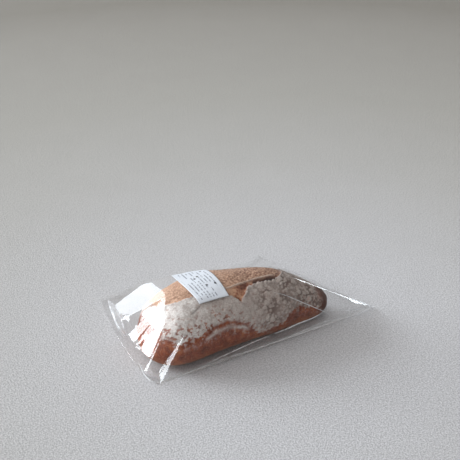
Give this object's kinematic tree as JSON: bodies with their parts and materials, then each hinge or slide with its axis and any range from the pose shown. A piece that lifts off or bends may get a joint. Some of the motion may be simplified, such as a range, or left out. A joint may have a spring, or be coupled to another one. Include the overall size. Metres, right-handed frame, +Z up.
{
  "type": "bagged baguette",
  "caption": "Short floured baguette with an opened slash along its top, lying in a clear film bag with a plain paper label.",
  "frame": {"origin": "centre of the bag's box in plan, on the surface that the bag lies on", "axes": "+X along the loaf from the bag's open mouth to its sealed end, +Y towards the bag's slack side, +Z up"},
  "size_m": [0.2722, 0.1682, 0.0693],
  "materials": {
    "crust": null,
    "film": "clear crisp film, glossy, with sharp folds",
    "label_paper": "smooth bluish-white paper with plain grey dashes and dark dots"
  },
  "bodies": {
    "root": {"loaf": "crust", "bag_film": "film", "label": "label_paper"}
  },
  "joints": []
}
